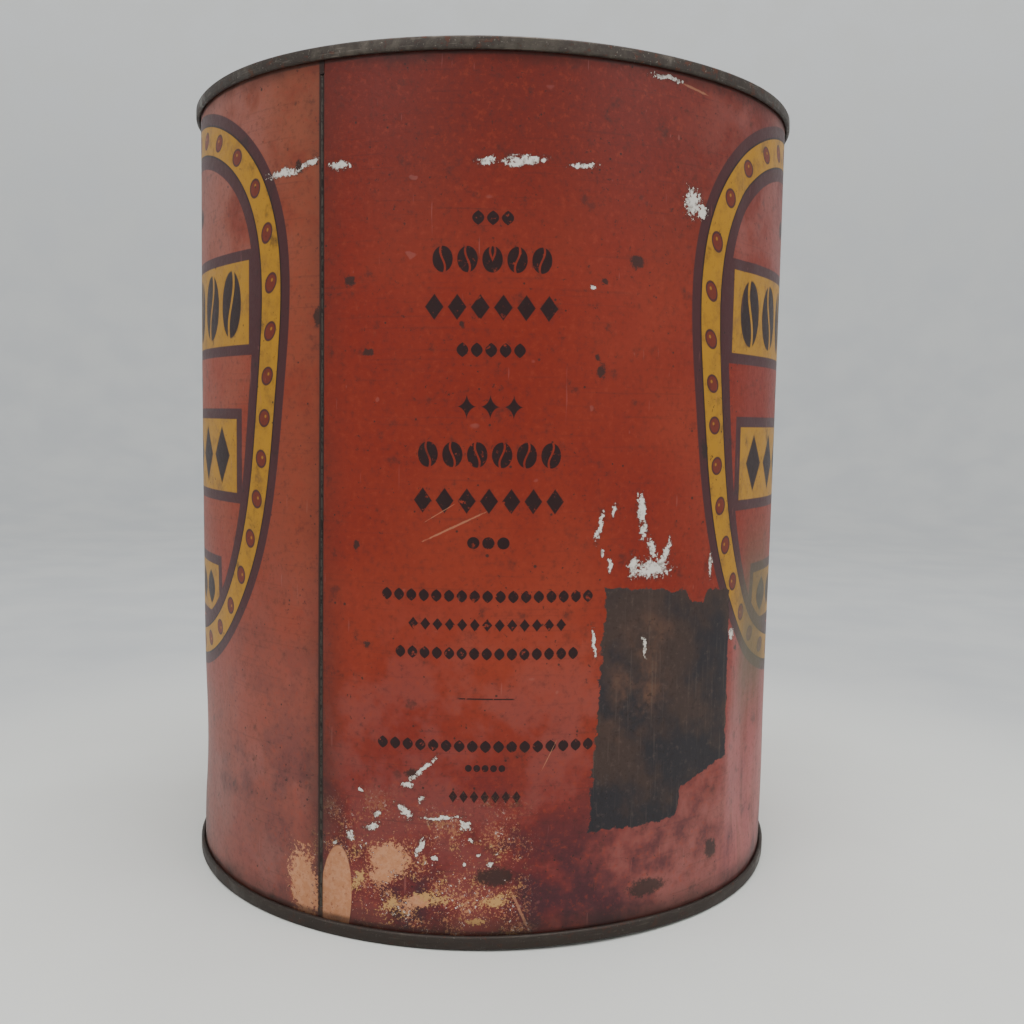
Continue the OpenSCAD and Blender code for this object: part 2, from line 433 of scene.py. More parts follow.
def make_top_ring():
    return spun_piece("mouth_ring", below_rim(
        end_seam(TOP_SEAM_H) + pressed_ring((CHUCK_R + MOUTH_R) / 2, 2.8, 0.8, PANEL_DEPTH)
        + [(MOUTH_R, PANEL_DEPTH, 1.2), (MOUTH_R, MOUTH_DEPTH, 0.8),
           (MOUTH_R + 1.8, MOUTH_DEPTH, 0.7), (MOUTH_R + 1.8, MOUTH_DEPTH - 1.4, 0)]))


def make_lid():
    roll_low = PANEL_DEPTH - SHEET - 0.05
    roll_top = roll_low - 1.64
    floor = PLUG_DEPTH - 1.2
    return spun_piece("lever_lid", below_rim(
        [(MOUTH_R + 3.6, roll_low - 0.6, 0), (MOUTH_R + 3.6, roll_low, 0.5),
         (MOUTH_R + 5.2, roll_low, 0.75), (MOUTH_R + 5.2, roll_top, 0.75),
         (PLUG_R, roll_top, 0.6), (PLUG_R, PLUG_DEPTH, 1),
         (PLUG_R - 6, PLUG_DEPTH, 0.8), (PLUG_R - 7, floor, 0.8)]
        + pressed_ring(0.55 * PLUG_R, 3, 0.7, floor) + [(0, floor, 0)]))


def make_compound(name, height_of):
    """A ring of sealing compound inside a seam, at heights given by its depth from the rim."""
    clear = 0.04
    top, foot = SHEET + clear, TURN - HALF - clear
    middle = height_of((top + foot) / 2)
    half_h = (foot - top) / 2
    return spun_piece(name, [(CHUCK_R + HALF + clear, middle, 0), (SEAM_WALL_R - HALF - clear, middle, 0)],
                      low=-half_h, high=half_h, longest=0.5)


def make_floor():
    """A pale floor that curves up into a round wall, in millimetres like the rest."""
    reach, wall_h, bend, half_thick = 1500, 1800, 500, 2
    path = [(0, -half_thick, 0), (reach, -half_thick, bend), (reach, wall_h, 0)]
    return spun_piece("floor", path, columns=64, low=-half_thick, high=half_thick, longest=150, worn=False)


# ---------------------------------------------------------------------------------------------
# Shader values
# ---------------------------------------------------------------------------------------------

class Field:
    """A value, vector or colour that varies over a surface. Arithmetic on values adds Math nodes."""

    def __init__(self, tree, socket=None):
        self.tree, self.socket = tree, socket

    def node(self, kind, settings=None, inputs=None, out=0):
        """An output of a new node, whose settings come first, then its sockets' values or links."""
        made = self.tree.nodes.new("ShaderNode" + kind)
        for name, value in (settings or {}).items():
            setattr(made, name, value)
        for key, value in (inputs or {}).items():
            if isinstance(value, Field):
                self.tree.links.new(value.socket, made.inputs[key])
            else:
                made.inputs[key].default_value = value
        return Field(self.tree, made.outputs[out])

    def math(self, operation, *values):
        return self.node("Math", {"operation": operation}, dict(enumerate((self,) + values)))

    def vector(self, operation, *values, out=0):
        return self.node("VectorMath", {"operation": operation}, dict(enumerate((self,) + values)), out)

    def __add__(self, other):
        return self.math("ADD", other)

    def __sub__(self, other):
        return self.math("SUBTRACT", other)

    def __rsub__(self, other):
        return self.math("MULTIPLY_ADD", -1, other)

    def __mul__(self, other):
        return self.math("MULTIPLY", other)

    def __truediv__(self, other):
        return self.math("DIVIDE", other)

    def __pow__(self, other):
        return self.math("POWER", other)

    def __abs__(self):
        return self.math("ABSOLUTE")

    __radd__, __rmul__ = __add__, __mul__

    def fade(self, start, end):
        """0 at start and beyond it, 1 at end, and smooth between."""
        return self.node("MapRange", {"interpolation_type": "SMOOTHSTEP"}, {0: self, 1: start, 2: end})

    def parts(self):
        split = self.node("SeparateXYZ", None, {0: self}).socket.node
        return [Field(self.tree, socket) for socket in split.outputs]


def lower(a, b):
    return a.math("MINIMUM", b)


def higher(a, b):
    return a.math("MAXIMUM", b)


def laid(under, over, mask):
    """Colour over laid on colour under as far as mask says."""
    return mask.node("Mix", {"data_type": "RGBA"}, {0: mask, 6: under, 7: over}, 2)


def paint(red, green, blue):
    """A colour from the 0 to 255 numbers of a colour chart."""
    chart = (red, green, blue)
    return tuple(((v / 255 + 0.055) / 1.055) ** 2.4 if v > 10 else v / 3294 for v in chart) + (1,)


def noise(at, size, detail=2, rough=0.5, stretch=None):
    """Smooth random values about 0.5, with features of that size in millimetres, times stretch."""
    place = at.vector("DIVIDE", stretch) if stretch else at
    return at.node("TexNoise", None, {
        "Vector": place, "Scale": 1 / size, "Detail": detail, "Roughness": rough})


def specks(at, size, share, radius):
    """Round specks in a share of the cells of the given size, up to radius of a cell."""
    away = at.node("TexVoronoi", None, {"Vector": at, "Scale": 1 / size})
    chance = Field(at.tree, away.socket.node.outputs["Color"]).parts()[0]
    reach = chance.fade(1 - share, 1) * radius
    return (reach - away).fade(0, 0.05)


def moved(at, size, by):
    """at, moved about by up to half of by, so that what is drawn there has a ragged outline."""
    grain = noise(at, size, detail=4, rough=0.6)
    colour = Field(at.tree, grain.socket.node.outputs["Color"])
    shift = colour.vector("MULTIPLY_ADD", (by, by, by), (-by / 2, -by / 2, -by / 2))
    return at.vector("ADD", shift)


class Finish:
    """A material on one Principled shader. Its at is the place on the tin in millimetres."""

    def __init__(self, name):
        self.material = bpy.data.materials.new(name)
        self.material.use_nodes = True
        self.tree = self.material.node_tree
        self.shader = self.tree.nodes["Principled BSDF"]
        place = Field(self.tree).node("TexCoord", out="Object")
        self.at = place.vector("MULTIPLY", (1 / MM, 1 / MM, 1 / MM))

    def set(self, values):
        for name, value in values.items():
            if isinstance(value, Field):
                self.tree.links.new(value.socket, self.shader.inputs[name])
            else:
                self.shader.inputs[name].default_value = value
        return self.material

    def bump(self, height, depth):
        """A normal from a height of 0 to 1, where 1 is depth millimetres."""
        return height.node("Bump", None, {"Strength": 1, "Distance": depth * MM, "Height": height}, "Normal")


# ---------------------------------------------------------------------------------------------
# The printed design
# ---------------------------------------------------------------------------------------------

QUARTER = math.pi * SKIN_R / 2  # arc from the middle of the front to the middle of a side

RED = paint(121, 30, 10)
RED_DARK = paint(98, 28, 18)
RED_WORN = paint(140, 52, 28)
CRIMSON = paint(92, 26, 30)
PURPLE = paint(58, 28, 36)
MAUVE = paint(150, 92, 84)
PINK = paint(164, 84, 84)
DUSTY = paint(146, 84, 58)
INK = paint(36, 14, 14)
GOLD = paint(166, 118, 18)
GOLD_DIM = paint(120, 84, 34)
BORDER = paint(66, 32, 34)
STUD = paint(104, 38, 22)
BASE_COAT = paint(214, 208, 198)
TAN = paint(186, 132, 98)
KRAFT = paint(176, 118, 82)
OCHRE = paint(178, 136, 84)
# The dark of dirt, also used for painted shade under the rims, down the seam's groove and round the white
# flakes
SOIL_AND_SHADE = paint(38, 28, 24)
OLIVE = paint(86, 78, 58)
DRAB = paint(120, 108, 96)
RUST = paint(88, 48, 30)
SCUFF = paint(150, 143, 131)
PATINA_BROWN = paint(66, 52, 47)
PATINA_BLUE = paint(46, 43, 46)
PATINA_RUST = paint(108, 76, 58)
PATINA_WIPED = paint(94, 80, 72)
PATINA_PALE = paint(98, 82, 74)
# Tinplate where it is clean and where it is dull
WALL_TIN = (paint(150, 146, 138), paint(104, 92, 80))
END_TIN = (paint(94, 87, 79), paint(56, 48, 42))
LID_TIN = (paint(146, 140, 130), paint(98, 84, 72))

# Rows of the ornament column: unit, height above the base, half width, unit height, units
COLUMN_ROWS = [
    ("leaf", 183.7, 5.4, 3.5, 3), ("bean", 173.8, 15.2, 6.3, 5), ("lozenge", 162.3, 16.9, 6.3, 6),
    ("leaf", 152.0, 8.8, 3.6, 5), ("star", 138.2, 8.7, 6.2, 3), ("bean", 126.4, 18.4, 6.3, 6),
    ("lozenge", 115.0, 19.3, 6.3, 7), ("dot", 104.6, 5.6, 3.0, 3), ("leaf", 91.2, 27.3, 3.2, 17),
    ("lozenge", 84.0, 20.3, 3.2, 13), ("leaf", 76.7, 23.6, 3.2, 15), ("bar", 65.2, 8.5, 0.35, 1),
    ("leaf", 53.0, 28.2, 3.2, 17), ("dot", 47.4, 5.3, 1.8, 5), ("lozenge", 40.0, 9.4, 3.2, 7),
]
# Gold plates across the emblem: outer bottom and top, half width, unit, units
PLATES = [(151.3, 179.3, 72.5, "bean", 9), (111.0, 137.0, 66.0, "lozenge", 9), (75.0, 95.0, 52.0, "leaf", 9)]
FRAME_W = 2.9
# Rows of ornament on the red between the plates
EMBLEM_ROWS = [("star", 192.5, 12.0, 12.0, 1), ("leaf", 192.5, 34.0, 6.0, 9), ("dot", 144.2, 30.0, 4.0, 9),
               ("dot", 103.0, 30.0, 4.0, 9)]

EMBLEM_Z, EMBLEM_W, EMBLEM_H = 140.0, 77.3, 74.8
EMBLEM_POWER = 3.2
EMBLEM_TAPER = 0.12
BAND_W = 8.0
BORDER_W = 3.6
STUDS = 44
STUD_R, STUD_RIM_R = 2.05, 2.6
EDGE = 0.3  # how far a printed edge takes to change colour


def unit_shape(kind, x, y):
    """Under 1 inside one unit of ornament, where x and y are 1 at its edges."""
    x, y = abs(x), (y if kind == "bean" else abs(y))
    if kind == "lozenge":
        return x + y
    if kind == "leaf":
        return x + y * y
    if kind == "star":
        return x ** 0.62 + y ** 0.62
    if kind == "bar":
        return higher(x, y)
    return x * x + y * y


def ornament_row(c, z, kind, height, half_w, unit_h, units):
    """Ink of one row of units centred on c = 0, where c is never negative."""
    pitch = 2 * half_w / units
    x = ((c * (1 / pitch) + (units % 2) / 2).math("FRACT") - 0.5) * (2 / 0.82)
    y = (z - height) * (2 / unit_h)
    if kind == "bean":
        slit = abs(x - (y * 2.4).math("SINE") * 0.25).fade(0.06, 0.14)
        inked = unit_shape(kind, x, y).fade(1.08, 0.92) * slit
    else:
        inked = unit_shape(kind, x, y).fade(1.08, 0.92)
    return inked * c.math("LESS_THAN", half_w)


def printed_rows(c, z, rows):
    ink = 0
    for kind, height, half_w, unit_h, units in rows:
        ink = ornament_row(c, z, kind, height, half_w, unit_h, units) + ink
    return ink


def emblem_place(m, z):
    """Distance outwards from the middle of the emblem's band, and along it from the nearest stud."""
    n = EMBLEM_POWER
    dz = z - EMBLEM_Z
    width = (dz * (EMBLEM_TAPER / EMBLEM_H) + 1) * EMBLEM_W
    u, v = m / width, abs(dz) / EMBLEM_H
    reach = higher(u ** n + v ** n, 0.001) ** (1 / n)
    slope = (reach ** (1 - n)) * ((u ** (n - 1) / width) ** 2 + (v ** (n - 1) / EMBLEM_H) ** 2) ** 0.5
    turn = dz.math("ARCTAN2", m) * (STUDS / (2 * math.pi))
    along = (turn.math("FRACT") - 0.5) * (m * m + dz * dz) ** 0.5 * (2 * math.pi / STUDS)
    return (reach - 1) / slope, along


def laid_emblem(colour, m, z, at):
    """The emblem on each side: a gold band with studs round a red field with three gold plates."""
    away, along = emblem_place(m, z)
    rubbed = noise(at, 5, detail=4, rough=0.7)
    gold = laid(GOLD, GOLD_DIM, rubbed.fade(0.45, 0.75) * 0.8)
    colour = laid(colour, INK, printed_rows(m, z, EMBLEM_ROWS))
    for low, top, half_w, kind, units in PLATES:
        box = higher(m - half_w, abs(z - (low + top) / 2) - (top - low) / 2)
        colour = laid(colour, BORDER, box.fade(0.15, -0.15))
        colour = laid(colour, gold, box.fade(0.15 - FRAME_W, -0.15 - FRAME_W))
        inner_h = top - low - 2 * FRAME_W - 4
        ink = ornament_row(m, z, kind, (low + top) / 2, half_w - FRAME_W - 3, inner_h, units)
        colour = laid(colour, INK, ink)
    half_band = BAND_W / 2
    border_edge = half_band + BORDER_W
    colour = laid(colour, BORDER, abs(away + 0.25).fade(border_edge, border_edge - EDGE))
    colour = laid(colour, gold, abs(away).fade(half_band + 0.1, half_band - 0.1))
    colour = laid(colour, INK, abs(abs(away) - half_band).fade(0.35, 0.15))
    stud = (along * along + away * away) ** 0.5
    colour = laid(colour, BORDER, stud.fade(STUD_RIM_R, STUD_RIM_R - EDGE))
    colour = laid(colour, STUD, stud.fade(STUD_R, STUD_R - EDGE))
    gleam = ((along - 0.5) ** 2 + (away - 0.5) ** 2) ** 0.5
    return laid(colour, GOLD, gleam.fade(0.55, 0.25) * 0.7)


# ---------------------------------------------------------------------------------------------
# Wear on the print
# ---------------------------------------------------------------------------------------------

# Marks as arc, height, half length, half width and tilt in degrees: flaked to the white base coat,
# scored with a point, rubbed to the tan size under it, stained ochre, and dark spots
WHITE_MARKS = [
    (-57, 197, 5.0, 0.9, 3), (-48.5, 198.6, 3, 0.7, 12), (-39, 197.2, 2.8, 0.8, -4),
    (-1.6, 197.2, 2.0, 0.9, 0), (7, 197.5, 4.8, 1.0, 3), (21.7, 197.2, 3.0, 0.6, 5),
    (45, 220.8, 4, 0.7, 0), (54.5, 191.5, 2.4, 3.2, 0), (58, 189.5, 1.6, 1.8, 0),
    (28.4, 108.5, 3.2, 0.7, 80), (32.5, 113, 1.4, 0.5, 70), (40.2, 113, 3.6, 1.0, 96),
    (41.2, 107.5, 2.0, 1.0, 80), (44, 102.6, 2.4, 1.0, 110), (48.5, 101.5, 3, 0.9, 70),
    (29.6, 102, 1.0, 0.5, 90), (31.6, 98.6, 1.6, 0.6, 90), (38.4, 98.4, 2.6, 1.5, 80),
    (44.5, 97.4, 5.0, 2.0, 0), (47.5, 99, 2.4, 1.2, 60), (65.5, 97, 2.8, 0.7, 86),
    (27.6, 79, 3.4, 0.5, 96), (42.4, 77.2, 2.6, 0.5, 95), (77.5, 76.5, 1.4, 1.6, 0),
    (-16, 46.5, 4.2, 0.6, 42), (-19.6, 42.2, 1.5, 0.7, 20), (-16, 38.9, 1.0, 0.8, 60),
    (-20.8, 35.6, 2.6, 0.9, -42), (-11, 34.3, 4.4, 0.4, 3), (-4.8, 32.4, 1.1, 1.1, 0),
    (-29.3, 30.6, 1.8, 0.8, 20), (-28, 33.6, 1.2, 0.5, 70), (-35.5, 27.4, 1.0, 1.4, 30),
    (-40, 24.6, 0.8, 0.5, 30), (-16.5, 26, 0.7, 2.2, -20), (-12.8, 23.6, 0.7, 0.6, 0),
    (-3.4, 28.6, 0.5, 0.8, 20), (-1, 24.4, 0.5, 0.4, 0), (1.4, 22.4, 0.6, 0.5, 0),
    (-5, 22.2, 0.4, 0.6, 0), (-33, 39.5, 0.6, 0.4, 0), (25, 168, 0.5, 0.5, 0),
    (196, 178, 7, 0.8, 8), (230, 62, 4, 2.0, 50), (-216, 196, 9, 0.7, -3), (-170, 40, 3, 1.4, 100),
]
SCRATCHES = [
    (-9, 108.3, 7.8, 0.25, 26), (9.3, 10.5, 5.6, 0.35, -66), (54, 219.6, 5, 0.3, -8),
    (-12, 112, 4, 0.1, 32), (16, 50, 4, 0.1, 64), (186, 100, 24, 0.15, 40), (-204, 60, 18, 0.15, -30),
]
CLEAN_TAN = [(-40, 9, 15, 4.8, 86)]
TAN_MARKS = [(-50.2, 11, 10, 5.0, 100), (-24.6, 22.4, 5.4, 4.6, 20), (-27, 17.6, 3, 2, 0),
             (-17, 12, 4, 1.6, 10), (176, 16, 12, 5, 10), (-228, 24, 8, 5, 70)]
OCHRE_MARKS = [(3, 13, 4, 1.4, 8), (-13, 13, 4.6, 1.6, -6), (-24, 10.4, 3.4, 1.4, 34),
               (-33, 16, 3, 1.4, 70), (-2, 7.6, 3.4, 0.8, 0), (168, 20, 4, 2, 0)]
DARK_MARKS = [
    (2.8, 19.2, 5, 2.4, 0), (37, 174.9, 2.0, 1.6, 0), (28, 147.6, 1.3, 2.0, 0), (27, 150.6, 0.8, 0.8, 0),
    (28, 169.7, 1.0, 0.7, 0), (-36.3, 168.6, 1.5, 1.4, 0), (-31.2, 151.3, 1.4, 0.9, 0),
    (-45.8, 160.5, 1.2, 2.4, 0), (-52, 198, 1.2, 1.6, 0), (-34, 103, 0.9, 1.1, 0),
    (-19, 45.4, 1.6, 1.2, 0), (62, 128, 1.4, 2.6, 10), (-7, 158, 0.7, 0.7, 0), (-31, 78, 0.9, 0.9, 0),
    (80.3, 72, 0.9, 0.9, 0), (45, 12, 6, 2.4, 0), (70, 17, 2.4, 3, 20),
    (184, 140, 3, 2, 30), (-240, 120, 2, 4, 0), (148, 90, 2, 1.6, 0),
]


def marks(flat, places):
    """Distance from the nearest mark's middle, where 1 is its outline."""
    nearest = 100
    for arc, height, half_l, half_w, tilt in places:
        c, s = math.cos(math.radians(tilt)), math.sin(math.radians(tilt))
        along = flat.vector("DOT_PRODUCT", (c / half_l, s / half_l, -(arc * c + height * s) / half_l), out=1)
        across = flat.vector("DOT_PRODUCT", (-s / half_w, c / half_w, (arc * s - height * c) / half_w), out=1)
        nearest = along.math("MULTIPLY_ADD", along, across * across).math("MINIMUM", nearest)
    return nearest ** 0.5


def flattened(arc, z):
    """The wall unrolled: way round, height, and 1 so that a dot product can also add."""
    return arc.node("CombineXYZ", None, {0: arc, 1: z, 2: 1})


# The patch where the print is gone: arcs of its sides at the base, heights of its top at the front's
# middle and of its foot, then the notch low on its right, the bite in its top and its rusty place
PATCH_LEFT, PATCH_LEAN, PATCH_RIGHT = 25.3, 0.06, 75.5
PATCH_TOP, PATCH_FALL, PATCH_FOOT = 95.5, 0.08, 29.6
NOTCH_FROM, NOTCH_RISE, NOTCH_DROP = (54, 57), 0.28, 8
BITE_AT, BITE_W, BITE_H = 60.5, (5, 2), 3.5
RUSTY_PLACE = [(42, 70, 15, 9, 70)]


def bare_patch(arc, z):
    """Distance inwards from the outline of the patch where the print is gone."""
    left = arc - z * PATCH_LEAN - PATCH_LEFT
    right = PATCH_RIGHT - arc
    top = PATCH_TOP - arc * PATCH_FALL - abs(arc - BITE_AT).fade(*BITE_W) * BITE_H - z
    foot = z - arc.fade(*NOTCH_FROM) * (arc * NOTCH_RISE - NOTCH_DROP) - PATCH_FOOT
    return lower(lower(left, right), lower(top, foot))


def wall_places(at):
    """The way round and the height of a place on the wall."""
    x, y, z = at.parts()
    return x.math("ARCTAN2", y * -1) * SKIN_R, z


class Weather:
    """The place on the wall that is being coloured, and the random values that its wear shares."""

    def __init__(self, at):
        self.at = at
        self.arc, self.z = wall_places(at)
        self.flat = flattened(self.arc, self.z)
        self.ragged_arc, self.ragged_z = wall_places(moved(at, 3.2, 3))
        self.ragged = flattened(self.ragged_arc, self.ragged_z)
        self.blotch = noise(at, 16, detail=4, rough=0.6)
        self.grain = noise(at, 1.6, detail=4, rough=0.7)
        self.grit = noise(at, 0.9, detail=4, rough=0.75) - 0.5
        self.stains = noise(at, 6, detail=4, rough=0.65)
        self.soot = noise(at, 30, detail=4, rough=0.6)
        self.peppered = noise(at, 1.3, detail=3, rough=0.7).fade(0.62, 0.72)


def lacquer_red(wear):
    """The ground colour: orange red in the middle, darker above, crimson and purple below, with painted sheen
    and a painted highlight on the sides.
    """
    at, arc, z, blotch, grain = wear.at, wear.arc, wear.z, wear.blotch, wear.grain
    cloud = noise(at, 55, detail=3)
    dust_and_sheen = noise(at, 22, detail=5, rough=0.65)
    brushed = noise(at, 0.7, stretch=(34, 34, 1))
    streaks = noise(at, 3.5, detail=3, stretch=(1, 1, 9))
    not_back = abs(arc).fade(250, 170)
    past_seam = arc.fade(SEAM_ARC - 0.3, SEAM_ARC - 1.5) * not_back

    red = laid(RED, RED_WORN, cloud.fade(0.35, 0.7) * 0.7)
    # Darker red towards the top
    red = laid(red, RED_DARK, (z + (cloud - 0.5) * 60).fade(160, 210) * 0.85)
    red = laid(red, CRIMSON, (z + (blotch - 0.5) * 60).fade(76, 12) * 0.85)
    red = laid(red, PURPLE, blotch.fade(0.47, 0.63) * z.fade(62, 14) * 0.85)

    # Past the seam: lighter and more orange, with mauve and purple mottling low down. Mauve on the sides,
    # partly dust and partly painted sheen: high towards both emblems and low on the front's right.
    red = laid(red, DUSTY, past_seam * dust_and_sheen.fade(0.2, 0.6) * (z.fade(130, 210) * 0.25 + 0.35))
    red = laid(red, MAUVE, past_seam * z.fade(120, 40) * blotch.fade(0.36, 0.62) * 0.45)
    red = laid(red, PURPLE, past_seam * z.fade(120, 30) * dust_and_sheen.fade(0.46, 0.66) * 0.55)
    sheen_high_left = arc.fade(-52, -76) * not_back * z.fade(120, 205)
    sheen_low_right = arc.fade(12, 50) * not_back * z.fade(52, 26)
    sheen_high_right = arc.fade(40, 88) * not_back * z.fade(130, 190)
    red = laid(red, MAUVE, sheen_high_left * dust_and_sheen.fade(0.36, 0.62) * 0.5)
    red = laid(red, MAUVE, sheen_low_right * blotch.fade(0.7, 0.4) * 0.5)
    red = laid(red, MAUVE, sheen_high_right * dust_and_sheen.fade(0.4, 0.64) * 0.5)
    red = laid(red, MAUVE, blotch.fade(0.56, 0.38) * z.fade(96, 62) * 0.22)
    # Painted highlight: pink vertical streaks on the flat facet low on the right side
    facet_highlight = arc.fade(68, 82) * not_back * z.fade(104, 76)
    red = laid(red, PINK, facet_highlight * (streaks.fade(0.36, 0.6) * 0.45 + 0.15))

    red = laid(red, RED_WORN, grain.fade(0.48, 0.28) * 0.45)
    red = laid(red, SOIL_AND_SHADE, grain.fade(0.5, 0.76) * 0.4)
    return laid(red, SOIL_AND_SHADE, brushed.fade(0.42, 0.25) * 0.2)


def patch_patina(wear):
    """Old bare tinplate: brown and bluish grey, with a rusty place, and all of it speckled."""
    at, grain = wear.at, wear.grain
    tone = noise(at, 18, detail=4, rough=0.6) + (wear.z - 60) * -0.003
    rusty = noise(at, 8, detail=4, rough=0.6)
    wiped = noise(at, 0.8, stretch=(1, 1, 24))
    place = marks(wear.flat, RUSTY_PLACE)
    patina = laid(PATINA_BROWN, PATINA_BLUE, tone.fade(0.42, 0.62))
    patina = laid(patina, PATINA_RUST, rusty.fade(0.4, 0.7) * place.fade(1.6, 0.4) * 0.7)
    patina = laid(patina, PATINA_WIPED, wiped.fade(0.58, 0.74) * 0.35)
    patina = laid(patina, PATINA_PALE, grain.fade(0.52, 0.8) * 0.5)
    patina = laid(patina, SOIL_AND_SHADE, grain.fade(0.48, 0.26) * 0.5)
    return laid(patina, SOIL_AND_SHADE, wear.peppered * 0.5)


def stained(colour, wear):
    """Stains, fly specks and fine scratches all over."""
    scratches = noise(wear.at, 1.0, detail=1, stretch=(1, 1, 12)).fade(0.76, 0.8)
    slants = noise(wear.at, 0.9, detail=1, stretch=(9, 1, 4)).fade(0.77, 0.82)
    colour = laid(colour, SOIL_AND_SHADE, wear.stains.fade(0.58, 0.74) * 0.55)
    colour = laid(colour, SOIL_AND_SHADE, wear.peppered * (wear.soot.fade(0.4, 0.6) * 0.5 + 0.35))
    colour = laid(colour, SOIL_AND_SHADE, specks(wear.at, 6, 0.4, 0.1) * 0.85)
    colour = laid(colour, SOIL_AND_SHADE, specks(wear.at, 2.6, 0.35, 0.15) * 0.8)
    return laid(colour, MAUVE, higher(scratches, slants) * 0.3)


def chipped_low(colour, wear):
    """Crowded small chips low on the front and on the back."""
    front = wear.arc.fade(-50, -42) * wear.arc.fade(16, 6)
    low = wear.z.fade(44, 20) * higher(front, abs(wear.arc).fade(120, 150) * 0.6)
    crowded = noise(wear.at, 9, detail=3, rough=0.6) - 0.5
    chips = noise(wear.at, 0.65, detail=3, rough=0.8)
    tint = laid(KRAFT, OCHRE, wear.stains.fade(0.5, 0.62))
    colour = laid(colour, tint, (chips + crowded * 0.6).fade(0.57, 0.6) * low * 0.85)
    return laid(colour, BASE_COAT, (wear.grit + crowded * 0.3).fade(0.14, 0.16) * low * 0.85)


def rubbed_tan(wear):
    """Where the tan size shows, one place of it with a clean round outline."""
    ragged = (marks(wear.ragged, TAN_MARKS) + wear.grit * 3).fade(1.0, 0.88)
    return higher(ragged, marks(wear.flat, CLEAN_TAN).fade(1.02, 0.97))


def flaked(colour, wear, tan, patch):
    """Dark spots, tan and ochre places, scores, the bare patch and the white flakes, with painted shade round
    the flakes.
    """
    grain, grit = wear.grain, wear.grit
    ochre = (marks(wear.ragged, OCHRE_MARKS) + grit * 6).fade(0.74, 0.64)
    white = marks(wear.ragged, WHITE_MARKS) + grit * 4
    scored = (marks(wear.flat, SCRATCHES) - grain * 2 + 1).fade(1.2, 0.8)
    dark = marks(wear.ragged, DARK_MARKS) + grit * 1.6
    colour = laid(colour, SOIL_AND_SHADE, dark.fade(1.25, 0.7) * 0.85)
    colour = laid(colour, laid(KRAFT, TAN, grain.fade(0.4, 0.6)), tan)
    colour = laid(colour, OCHRE, ochre)
    colour = laid(colour, CRIMSON, higher(tan, ochre) * grit.fade(0.06, 0.2) * 0.6)
    colour = laid(colour, TAN, scored * 0.45)
    # Painted shade round the white flakes
    colour = laid(colour, SOIL_AND_SHADE, white.fade(1.7, 1.0) * 0.45)
    colour = laid(colour, patch_patina(wear), patch)
    return laid(colour, laid(BASE_COAT, DRAB, grain.fade(0.5, 0.66) * 0.8), white.fade(1.0, 0.85))


def grimed_and_shaded(colour, wear, tan):
    """Dirt beside the side seam and near the rims, an olive bloom low on the right, and painted shade: a dark
    line down the seam's groove with soft shade beside it, and a band under each rim's seam.
    """
    z, soot, stains = wear.z, wear.soot, wear.stains
    from_seam = wear.arc - SEAM_ARC
    from_rim = TIN_H - z
    beside_seam = abs(from_seam).fade(9, 0.5) * (z.fade(110, 20) * 0.5 + 0.35) * soot.fade(0.2, 0.6)
    # Painted shade beside the seam's groove, broken up by stains and stronger low down
    at_seam = abs(from_seam + 0.4).fade(3, 0.8)
    seam_shade = at_seam * (z.fade(120, 30) * 0.6 + 0.3) * stains.fade(0.25, 0.5)
    near_rims = higher(z.fade(11, 4) * soot.fade(0.3, 0.6), from_rim.fade(8, 3) * soot.fade(0.35, 0.7))
    # Painted shade in the crease just under each rim's seam, mottled by stains
    shade_under_rims = higher(z.fade(BOTTOM_SEAM_H + 2.4, BOTTOM_SEAM_H + 0.8),
                        from_rim.fade(TOP_SEAM_H + 1.2, TOP_SEAM_H + 0.4))
    grime_and_shade = higher(higher(beside_seam, seam_shade), near_rims) * (1 - tan * 0.7)
    olive = abs(wear.arc - 96).fade(20, 5) * z.fade(116, 84) * z.fade(40, 66)
    colour = laid(colour, OLIVE, olive * soot.fade(0.2, 0.5) * 0.75)
    colour = laid(colour, SOIL_AND_SHADE, higher(grime_and_shade * 0.75, shade_under_rims * (0.4 + stains * 0.7)))
    # Painted shadow: a dark line down the seam's groove
    return laid(colour, SOIL_AND_SHADE, abs(from_seam + 0.45).fade(1.0, 0.55) * 0.9)


def make_print():
    """Red lacquer with its printed ornament, faded, scratched, stained and flaked off in places."""
    finish = Finish("printed_lacquer")
    wear = Weather(finish.at)
    from_emblem = abs(QUARTER - abs(wear.arc))
    from_column = QUARTER - from_emblem
    tan = rubbed_tan(wear)
    ragged_edge = (wear.grain - 0.5) * 2
    patch = (bare_patch(wear.ragged_arc, wear.ragged_z) + ragged_edge).fade(-0.2, 0.2)

    colour = lacquer_red(wear)
    worn_ink = wear.grain.fade(0.3, 0.42)
    colour = laid(colour, INK, printed_rows(from_column, wear.z, COLUMN_ROWS) * worn_ink)
    colour = laid_emblem(colour, from_emblem, wear.z, wear.at)
    colour = stained(colour, wear)
    colour = chipped_low(colour, wear)
    colour = flaked(colour, wear, tan, patch)
    colour = grimed_and_shaded(colour, wear, tan)

    rough = 0.38 + (wear.grain - 0.5) * 0.2 + wear.soot * 0.14 + higher(patch, tan) * 0.2
    return finish.set({"Base Color": colour, "Roughness": rough, "Metallic": patch * 0.3,
                       "Specular IOR Level": 0.28, "Normal": finish.bump(wear.grain, 0.06)})


# ---------------------------------------------------------------------------------------------
# Metal finishes
# ---------------------------------------------------------------------------------------------

